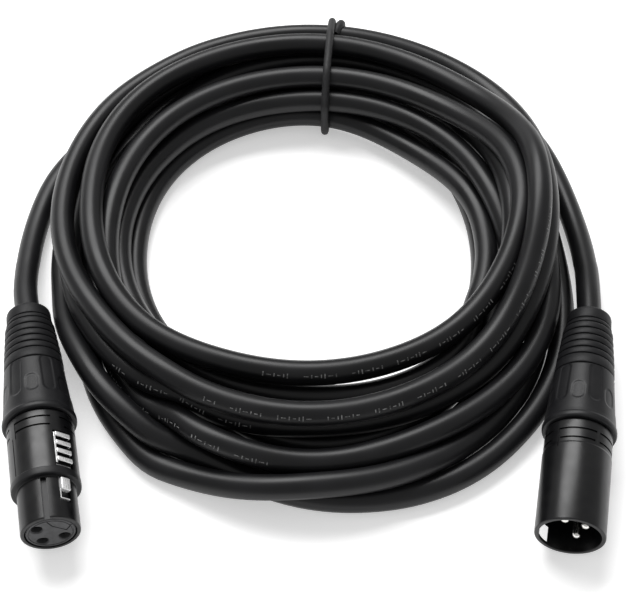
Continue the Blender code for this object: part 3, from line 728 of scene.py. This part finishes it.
def make_female_insert(matrix, material):
    """Plastic insert with a rim groove, three holes, a pocket for the lever and fine lines on its face."""
    radius = BORE_RADIUS - GAP
    face = FEMALE_FACE - 0.1
    outline = [(0.0, 5.0), (radius, 5.0), (radius, face - 0.25), (radius - 0.25, face), (6.05, face),
               (5.95, face - 0.2), (5.75, face - 0.2), (5.65, face), (0.0, face)]
    insert = finish_mesh("female_insert_moulded", lathe(outline, segments=96), material, matrix)
    lever_pocket = block((3.7, 9.0), 5.6, (4.0, 30.5), LATCH_ANGLE)
    cut(insert, lever_pocket, matrix)
    hole = [(0.0, 4.0), (1.9, 4.0), (1.9, 32.6), (1.55, 32.6), (1.55, face - 0.35), (1.9, face + 0.1),
            (1.9, FEMALE_FACE + 1.0), (0.0, FEMALE_FACE + 1.0)]
    for angle in FEMALE_POLES:
        cut(insert, at_pole(lathe(hole, segments=36), angle), matrix)
    face_lines = (((2.6, 1.7), -39.5, 4.4), ((5.0, 1.5), 57.0, 2.9), ((0.3, 4.3), -64.0, 2.7))
    for middle, angle, length in face_lines:
        line = bmesh.new()
        bmesh.ops.create_cube(line, size=1.0)
        bmesh.ops.scale(line, vec=(length, 0.32, 1.2), verts=line.verts)
        line.transform(Matrix.Translation((*middle, face)) @ Matrix.Rotation(math.radians(angle), 4, "Z"))
        cut(insert, line, matrix)
    carry(insert, "insert", "female_insert")


def make_latch(matrix, material, painted_shade):
    """Thumb pad with four chromed ribs over a bed, and the hook with its rimmed pocket, one lever; the bed
    between the ribs and the pocket's floor take the black shell material as painted shade.
    """
    lever = block((6.3, 7.5), 2.8, (6.8, 28.5), LATCH_ANGLE, bevel=0.15)
    latch = finish_mesh("female_latch_lever", lever, material, matrix)
    pad = (7.6, 18.4)
    solids = [block((6.6, 8.9), 2.8, (22.2, 26.0), LATCH_ANGLE, bevel=0.3),
              block((6.8, 7.95), 2.8, (28.15, 28.5), LATCH_ANGLE),
              block((6.8, 7.95), 0.3, (25.5, 28.3), LATCH_ANGLE + 9.5),
              block((6.4, 8.6), 5.0, pad, LATCH_ANGLE, bevel=0.25),
              block((8.3, 9.3), 0.5, (pad[0] + 0.4, pad[1] - 0.4), LATCH_ANGLE + 14.5)]
    rib_pitch = (pad[1] - pad[0]) / 4
    for rib in range(4):
        start = pad[0] + rib_pitch * rib + 0.5
        solids.append(block((8.2, 9.75), 4.8, (start, start + 1.4), LATCH_ANGLE, bevel=0.3))
    for solid in solids:
        cut(latch, solid, matrix, "UNION")
    # painted shade: the bed between the ribs and the floor of the hook's pocket take the black shell
    # material
    coat_faces(latch, matrix, painted_shade, (pad[0] + 0.3, pad[1] - 0.1), (8.45, 9.12))
    coat_faces(latch, matrix, painted_shade, (26.05, 28.1), (7.3, 7.75))
    carry(latch, "latch", "female_latch", body="latch")


def make_male_shell(matrix, material, glow_material):
    """Cast tube with a key in its mouth and a recess in the mouth's wall whose floor takes a glowing patch,
    painted light standing in for the lit floor seen through the mouth's window.
    """
    outline = [(NECK_RADIUS, NECK_END), (NECK_RADIUS, GAP), (SHELL_RADIUS, GAP), (SHELL_RADIUS, 7.6),
               (MALE_SHELL_RADIUS, 8.0), (MALE_SHELL_RADIUS, MALE_MOUTH), (MOUTH_RADIUS, MALE_MOUTH),
               (MOUTH_RADIUS, MALE_FLOOR - 0.4), (BORE_RADIUS, MALE_FLOOR - 0.4), (BORE_RADIUS, NECK_END)]
    outline = rounded(outline, {2: 0.5, 3: 0.3, 4: 0.3, 5: 0.45, 6: 0.3})
    shell = finish_mesh("male_shell_cast", lathe(outline), material, matrix)
    groove(matrix, shell, 3.1, ((64.0, 65.0), (143.0, 100.0), (250.0, 168.0)))
    groove(matrix, shell, 6.0, ((66.0, 63.0), (145.0, 98.0), (252.0, 166.0)))
    cut(shell, block((SHELL_RADIUS - 0.3, BEYOND), 0.4, (3.1, 9.0), 129.0), matrix)
    key = block((MOUTH_RADIUS - 0.9, MOUTH_RADIUS + 0.5), 1.5, (MALE_FLOOR - 1.0, MALE_MOUTH - 2.0), 160.0)
    cut(shell, key, matrix, "UNION")
    glow_patch = (MALE_MOUTH - 5.4, MALE_MOUTH - 0.9)
    ring = [(MOUTH_RADIUS - 0.3, glow_patch[0]), (MOUTH_RADIUS + 0.12, glow_patch[0]),
            (MOUTH_RADIUS + 0.12, glow_patch[1]), (MOUTH_RADIUS - 0.3, glow_patch[1])]
    cut(shell, lathe(ring, start=196.0, sweep=33.0), matrix)
    # painted light: the recess floor takes the glowing window patch material
    coat_faces(shell, matrix, glow_material, glow_patch, (MOUTH_RADIUS + 0.06, MOUTH_RADIUS + 0.2))
    carry(shell, "shell", "male_shell")


def make_male_insert(matrix, material):
    radius = BORE_RADIUS - GAP
    outline = [(0.0, 5.0), (radius, 5.0), (radius, MALE_FLOOR - 0.25), (radius - 0.25, MALE_FLOOR),
               (0.0, MALE_FLOOR)]
    insert = finish_mesh("male_insert_moulded", lathe(outline, segments=96), material, matrix)
    hole = [(0.0, 4.0), (PIN_RADIUS + GAP, 4.0), (PIN_RADIUS + GAP, MALE_FLOOR + 1.0),
            (0.0, MALE_FLOOR + 1.0)]
    for angle in MALE_POLES:
        cut(insert, at_pole(lathe(hole, segments=30), angle), matrix)
    carry(insert, "insert", "male_insert")


def make_male_pins(matrix, material):
    """Three pins with rounded tips, hollow at the back for their solder cups."""
    tip = MALE_MOUTH - 2.0
    nose = [(PIN_RADIUS * math.cos(t), tip - 1.0 + math.sin(t))
            for t in (math.radians(a) for a in range(90, -1, -15))]
    outline = [*nose, (PIN_RADIUS, 1.5), (0.85, 1.5), (0.85, 4.5), (0.0, 4.5)]
    outline[0] = (0.0, tip)
    for number, angle in enumerate(MALE_POLES, start=1):
        pin = at_pole(lathe(outline, segments=32), angle)
        item = finish_mesh(f"male_pin_{number}_turned", pin, material, matrix)
        carry(item, "contact", f"male_pin_{number}")


def make_connectors(materials):
    female = connector_matrix((-74.4, -2.85), 11.5, 1.2)
    male = connector_matrix((75.26, -5.5), -10.2, -1.2)
    make_female_shell(female, materials["shell"], materials["bushing"])
    make_female_insert(female, materials["insert"])
    make_latch(female, materials["latch"], materials["shell"])
    make_male_shell(male, materials["shell"], materials["glow_patch"])
    make_male_insert(male, materials["insert"])
    make_male_pins(male, materials["contact"])
    for side, matrix, first_angle in (("female", female, 1.0), ("male", male, 13.0)):
        make_bushing(side, matrix, materials["bushing"], first_angle)
        make_boot(side, matrix, materials["boot"])


def dress_cad_pieces(materials):
    """Materials of the small inner pieces that stay as the CAD model drew them."""
    looks = {"chuck": "chuck", "cable_end": "jacket", "wire_white": "wire_white", "wire_red": "wire_red",
             "wire_shield": "wire_shield", "contact": "contact", "latch_spring": "spring"}
    for item in bpy.data.objects:
        for part, look in looks.items():
            if item.type == "MESH" and part in item.name and not item.hide_render:
                item.data.materials.clear()
                item.data.materials.append(materials[look])
                item.data.shade_smooth()
                item.data.set_sharp_from_angle(angle=math.radians(35.0))


# ---------------------------------------------------------------- cord, tie and printed marks
def make_cord(materials):
    """The whole cable as one strand, with its tie and its printed marks."""
    start = smooth(route_points(), SPACING)
    start[10:-10] = averaged(start, 6)[10:-10]
    line = settle(start)
    cable = make_tube("cable", line, RADIUS, materials["jacket"], resolution=5)
    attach(cable, "root")
    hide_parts("cable_coil", "cable_lead_female", "cable_lead_male")
    tie = make_tie(line, materials["tie"])
    marks = make_marks(line, materials["print"])


def make_tube(name, line, radius, material, resolution, closed=False):
    """A round cord along a line given in millimetres, with capped ends or closed on itself."""
    curve = bpy.data.curves.new(name, "CURVE")
    curve.dimensions = "3D"
    curve.bevel_depth = radius * MM
    curve.bevel_resolution = resolution
    curve.use_fill_caps = not closed
    spline = curve.splines.new("POLY")
    spline.points.add(len(line) - 1)
    for slot, point in zip(spline.points, line):
        slot.co = (*(point * MM), 1.0)
    spline.use_cyclic_u = closed
    curve.materials.append(material)
    item = bpy.data.objects.new(name, curve)
    bpy.context.scene.collection.objects.link(item)
    return item


def convex_hull(points):
    """The corners of the convex outline round flat points, anticlockwise."""
    points = sorted(map(tuple, points))

    def half(run):
        chain = []
        for point in run:
            while len(chain) > 1:
                (ax, ay), (bx, by) = chain[-2], chain[-1]
                if (bx - ax) * (point[1] - ay) - (by - ay) * (point[0] - ax) > 0.0:
                    break
                chain.pop()
            chain.append(point)
        return chain[:-1]

    return half(points) + half(points[::-1])


def make_tie(line, material):
    """A thin cord drawn tight round the strands at the back, its end lying over the outer top edge."""
    press = 0.1
    near = line[(np.abs(line[:, 0] - TIE_X) < 1.5) & (line[:, 1] > BACK_Y)]
    reach = RADIUS + TIE_RADIUS - press
    turned = np.radians(np.arange(0.0, 360.0, 12.0))
    cloud = np.vstack([near[:, 1:] + reach * np.array([math.cos(t), math.sin(t)]) for t in turned])
    cloud[:, 1] = np.maximum(cloud[:, 1], TIE_RADIUS + press)
    hull = np.array(convex_hull(cloud))
    hull = np.vstack([hull, hull[:1]])
    ring = respaced(np.column_stack([np.zeros(len(hull)), hull]), 0.8)[:-1]
    ring[:, 0] = TIE_X + TIE_LEAN * (ring[:, 1] - TIE_MIDDLE_Y)
    band = make_tube("tie_band_cord", ring, TIE_RADIUS, material, 4, closed=True)
    carry(band, "tie", "tie_band")
    corner = ring[np.argmax(ring[:, 1] + 0.8 * ring[:, 2])]
    tail = np.array([(0.9, -6.0, -0.2), (1.9, -3.6, 0.3), (2.7, -1.4, 0.0), (3.1, 0.2, -1.3),
                     (3.2, 0.7, -3.2), (3.2, 0.6, -5.2)]) + corner
    knot = make_tube("tie_knot_end", smooth(tail, 0.4), 1.35, material, 4)
    carry(knot, "tie", "tie_knot")
    return [band, knot]


def make_marks(line, material):
    """Small pale dashes printed along the jacket, in groups, in place of a printed legend."""
    steps = np.linalg.norm(np.diff(line, axis=0), axis=1)
    along = np.concatenate([[0.0], np.cumsum(steps)])
    # The turn counted from the back, the angles where its marks begin and end, and how high on the jacket
    stretches = ((7, -20.0, -100.0, 38.0), (8, -8.0, -112.0, 34.0), (2, -95.0, -150.0, 30.0),
                 (9, -100.0, -135.0, 30.0))
    # Length, and half the height in degrees round the jacket
    sizes = ((0.3, 8.0), (1.3, 2.2), (0.3, 11.0), (0.3, 8.0), (0.9, 2.2))
    group = 7
    gap, group_gap = 0.7, 4.2
    turned = np.unwrap(np.arctan2(line[:, 1] - COIL_MIDDLE[1], line[:, 0] - COIL_MIDDLE[0]))
    back = turned[turned < -math.radians(270.0)][0]
    bm = bmesh.new()
    for turn, high, low, side in stretches:
        begin = back - math.radians(90.0 - high) - math.tau * turn
        end = back - math.radians(90.0 - low) - math.tau * turn
        inside = np.where((turned < begin) & (turned > end))[0]
        position = along[inside[0]]
        number = 0
        while position < along[inside[-1]]:
            length, half_height = sizes[number % len(sizes)]
            add_dash(bm, line, along, position, length, half_height, side)
            position += length + (group_gap if number % group == group - 1 else gap)
            number += 1
    item = finish_mesh("cable_print", bm, material, Matrix())
    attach(item, "root")
    return item


def add_dash(bm, line, along, position, length, half_height, side):
    """One dash: a small patch that follows the cable's round surface, on its outer upper side."""
    proud = RADIUS + 0.025
    steps = 4
    rows = []
    for part in np.linspace(0.0, length, steps):
        place = position + part
        here = np.array([np.interp(place, along, line[:, axis]) for axis in range(3)])
        ahead = np.array([np.interp(place + 1.0, along, line[:, axis]) for axis in range(3)])
        forward = (ahead - here) / np.linalg.norm(ahead - here)
        outward = np.cross(forward, (0.0, 0.0, 1.0))
        middle = np.array([*COIL_MIDDLE, here[2]])
        if outward @ (here - middle) < 0:
            outward = -outward
        outward /= np.linalg.norm(outward)
        upward = np.cross(outward, forward)
        if upward[2] < 0:
            upward = -upward
        row = []
        for lift in np.radians(np.linspace(side - half_height, side + half_height, steps)):
            row.append(bm.verts.new(here + proud * (math.cos(lift) * outward + math.sin(lift) * upward)))
        rows.append(row)
    for low, high in zip(rows, rows[1:]):
        for index in range(steps - 1):
            bm.faces.new((low[index], low[index + 1], high[index + 1], high[index]))


# ---------------------------------------------------------------- floor and lights
def make_stage():
    """Plain white floor, faintly lit by itself so that it stays pale."""
    bpy.ops.mesh.primitive_plane_add(size=6.0)
    floor = bpy.context.object
    floor.name = "floor"
    material = bpy.data.materials.new("floor")
    material.use_nodes = True
    shader = material.node_tree.nodes["Principled BSDF"]
    shader.inputs["Base Color"].default_value = (0.9, 0.9, 0.9, 1.0)
    shader.inputs["Roughness"].default_value = 0.6
    shader.inputs["Emission Color"].default_value = (1.0, 1.0, 1.0, 1.0)
    shader.inputs["Emission Strength"].default_value = 0.42
    floor.data.materials.append(material)


def make_light(name, location, target, size, energy):
    data = bpy.data.lights.new(name, "AREA")
    data.shape = "RECTANGLE"
    data.size, data.size_y = size
    data.energy = energy
    light = bpy.data.objects.new(name, data)
    bpy.context.scene.collection.objects.link(light)
    light.location = location
    light.rotation_euler = (Vector(target) - Vector(location)).to_track_quat("-Z", "Y").to_euler()


def make_lights():
    make_light("softbox", (-0.3, 0.8, 1.15), (0.0, 0.07, 0.0), (1.1, 0.7), 20.0)
    world = bpy.data.worlds.new("studio")
    world.use_nodes = True
    world.node_tree.nodes["Background"].inputs["Color"].default_value = (1.0, 1.0, 1.0, 1.0)
    world.node_tree.nodes["Background"].inputs["Strength"].default_value = 0.45
    bpy.context.scene.world = world
    bpy.context.scene.view_settings.view_transform = "Standard"


make_camera()
materials = make_materials()
make_cord(materials)
make_connectors(materials)
dress_cad_pieces(materials)
make_stage()
make_lights()
